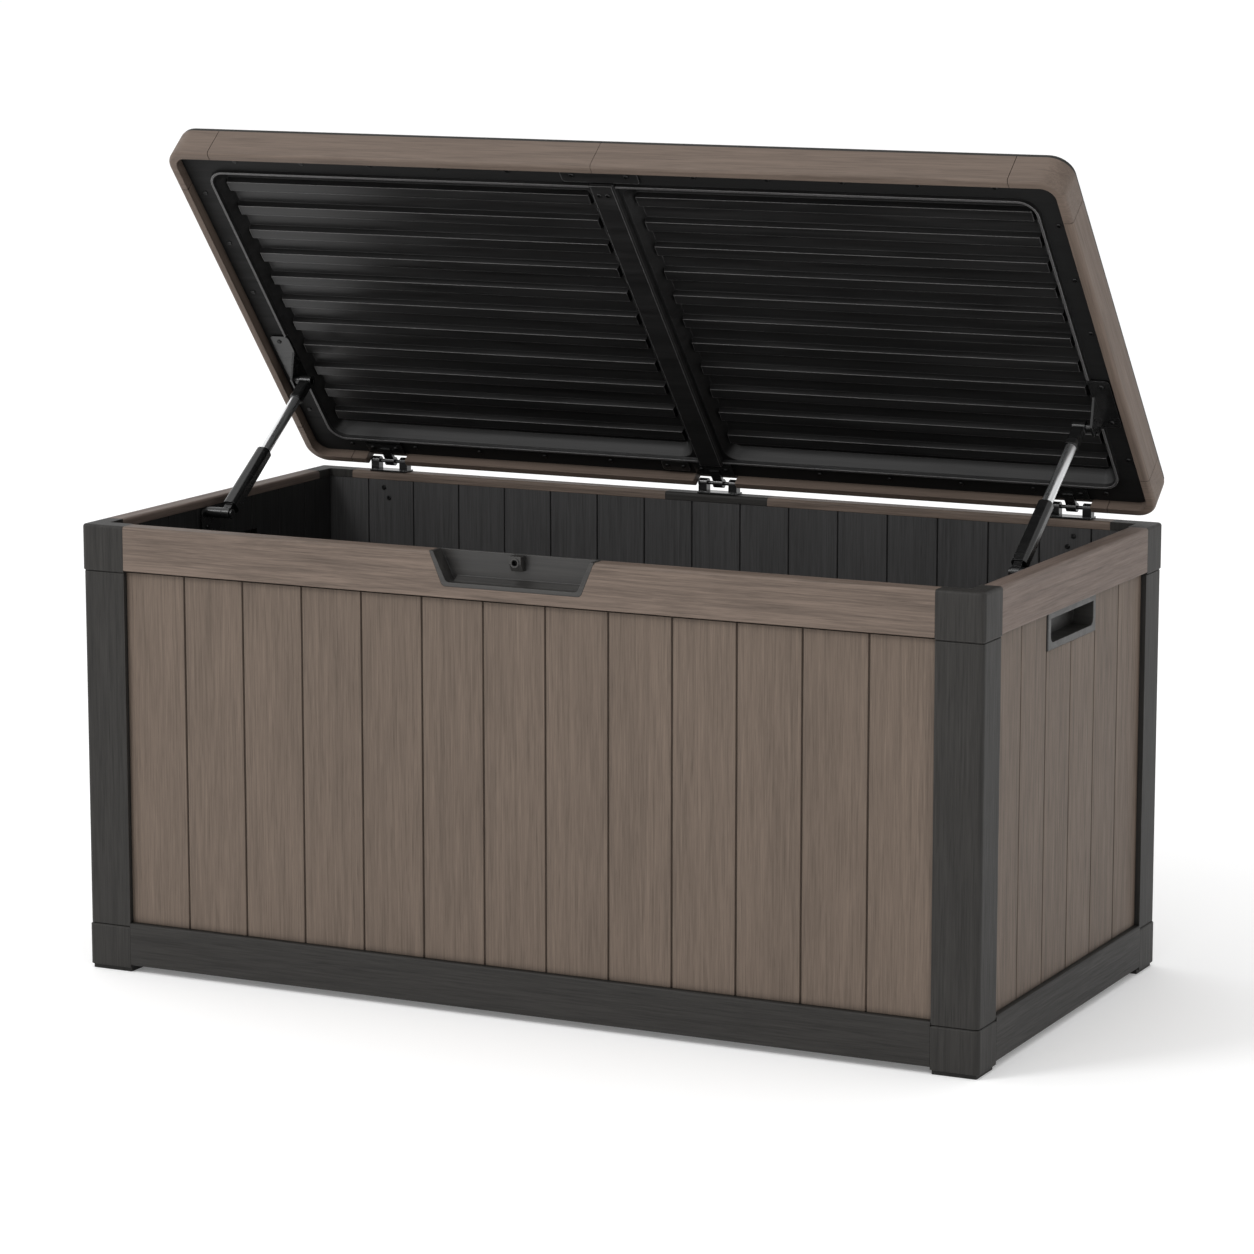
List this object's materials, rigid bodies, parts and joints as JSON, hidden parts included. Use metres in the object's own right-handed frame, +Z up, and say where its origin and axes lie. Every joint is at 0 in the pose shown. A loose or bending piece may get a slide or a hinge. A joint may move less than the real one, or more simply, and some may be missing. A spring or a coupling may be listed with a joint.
{
  "type": "deck storage box",
  "caption": "Plank-sided outdoor deck storage box with corner posts and a hinged lid propped open by two telescopic stays.",
  "frame": {"origin": "on the ground under the middle of the chest", "axes": "+X along the length to the right, +Y to the hinged back, +Z up"},
  "size_m": [1.248, 0.6298, 1.0743],
  "materials": {
    "taupe_resin": "taupe brown moulded resin with embossed wood grain",
    "charcoal_resin": "dark charcoal moulded resin with embossed wood grain",
    "liner_resin": "near-black moulded inner walls, fine grain",
    "black_resin": "black moulded underside, slightly satin",
    "sleeve_resin": "satin black stay sleeve",
    "bright_steel": "bright plated stay tube",
    "dark_steel": "blackened steel pins and screws"
  },
  "bodies": {
    "chest": {"corner_base_front_left": "charcoal_resin", "corner_base_front_right": "charcoal_resin", "corner_base_back_left": "charcoal_resin", "corner_base_back_right": "charcoal_resin", "corner_post_front_left": "charcoal_resin", "corner_post_front_right": "charcoal_resin", "corner_post_back_left": "charcoal_resin", "corner_post_back_right": "charcoal_resin", "corner_cap_front_left": "charcoal_resin", "corner_cap_front_right": "charcoal_resin", "corner_cap_back_left": "charcoal_resin", "corner_cap_back_right": "charcoal_resin", "bottom_rail_front": "charcoal_resin", "bottom_rail_back": "charcoal_resin", "bottom_rail_left": "charcoal_resin", "bottom_rail_right": "charcoal_resin", "top_rail_front": "taupe_resin", "top_rail_back": "taupe_resin", "top_rail_left": "taupe_resin", "top_rail_right": "taupe_resin", "top_rail_joiner": "charcoal_resin", "panel_front": "taupe_resin", "panel_back": "taupe_resin", "panel_left": "taupe_resin", "panel_right": "taupe_resin", "liner_front": "liner_resin", "liner_back": "liner_resin", "liner_left": "liner_resin", "liner_right": "liner_resin", "handle_left": "charcoal_resin", "handle_right": "charcoal_resin", "floor_panels": "liner_resin", "finger_recess": "charcoal_resin", "padlock_eye": "charcoal_resin", "hinge_chest_leaves": "black_resin", "hinge_pins": "dark_steel", "stay_chest_brackets": "black_resin", "chest_screws": "dark_steel"},
    "lid": {"lid_corner_front_left": "taupe_resin", "lid_corner_front_right": "taupe_resin", "lid_corner_back_left": "taupe_resin", "lid_corner_back_right": "taupe_resin", "lid_cover_left": "charcoal_resin", "lid_cover_right": "charcoal_resin", "lid_inner_left": "black_resin", "lid_inner_right": "black_resin", "lid_rim_front": "taupe_resin", "lid_rim_back": "taupe_resin", "lid_rim_sides": "taupe_resin", "lid_centre_bar": "black_resin", "lid_joint_plates": "black_resin", "hinge_lid_leaves": "black_resin", "stay_lid_brackets": "black_resin", "lid_screws": "dark_steel"},
    "stay_left_sleeve": {"stay_sleeve_left": "sleeve_resin"},
    "stay_left_rod": {"stay_tube_left": "bright_steel", "stay_socket_left": "sleeve_resin"},
    "stay_right_sleeve": {"stay_sleeve_right": "sleeve_resin"},
    "stay_right_rod": {"stay_tube_right": "bright_steel", "stay_socket_right": "sleeve_resin"}
  },
  "joints": [
    {"name": "lid_hinge", "type": "hinge", "parent": "chest", "child": "lid", "pos_m": [0, 0.294, 0.598], "axis": [1, 0, 0], "range_deg": [0, 50.1], "stiffness_Nm_per_rad": 3.2, "springref_deg": -177.62},
    {"name": "stay_left_swing", "type": "hinge", "parent": "chest", "child": "stay_left_sleeve", "pos_m": [-0.559, -0.051, 0.567], "axis": [1, 0, 0], "range_deg": [-32.58, 0]},
    {"name": "stay_left_slide", "type": "slide", "parent": "stay_left_sleeve", "child": "stay_left_rod", "axis": [0, 0.8126, 0.5828], "range_m": [-0.09614, 0]},
    {"name": "stay_right_swing", "type": "hinge", "parent": "chest", "child": "stay_right_sleeve", "pos_m": [0.559, -0.051, 0.567], "axis": [1, 0, 0], "range_deg": [-32.58, 0]},
    {"name": "stay_right_slide", "type": "slide", "parent": "stay_right_sleeve", "child": "stay_right_rod", "axis": [0, 0.8126, 0.5828], "range_m": [-0.09614, 0]}
  ],
  "couplings": [
    {"joint": "stay_left_swing", "follows": "lid_hinge", "ratio": -0.64997},
    {"joint": "stay_left_slide", "follows": "lid_hinge", "m_per_rad": -0.10983},
    {"joint": "stay_right_swing", "follows": "lid_hinge", "ratio": -0.64997},
    {"joint": "stay_right_slide", "follows": "lid_hinge", "m_per_rad": -0.10983}
  ]
}
